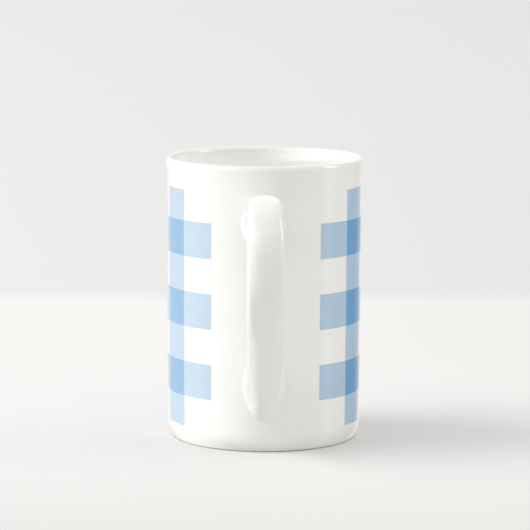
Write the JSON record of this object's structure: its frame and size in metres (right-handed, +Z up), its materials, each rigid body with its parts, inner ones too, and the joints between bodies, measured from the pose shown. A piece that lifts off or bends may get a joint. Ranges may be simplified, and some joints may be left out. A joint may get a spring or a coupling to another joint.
{
  "type": "mug",
  "caption": "Tall slim glazed china mug with a flared lip, a foot ring, an ear-shaped strap handle and a blue gingham print round the wall.",
  "frame": {"origin": "where the cup's axis meets the plane that the foot stands on", "axes": "+Z up along the cup's axis; the handle points along -Y; +X to the right when the handle faces the viewer"},
  "size_m": [0.0756, 0.1084, 0.1077],
  "materials": {
    "china": "gloss",
    "slip": "gloss",
    "pale_blue_ink": "gloss",
    "deep_blue_ink": "gloss"
  },
  "bodies": {
    "root": {"body": "china", "handle": "china", "upper_slip_joint": "slip", "lower_slip_joint": "slip", "print_rows": "pale_blue_ink", "print_columns": "pale_blue_ink", "print_crossings": "deep_blue_ink"}
  },
  "joints": []
}
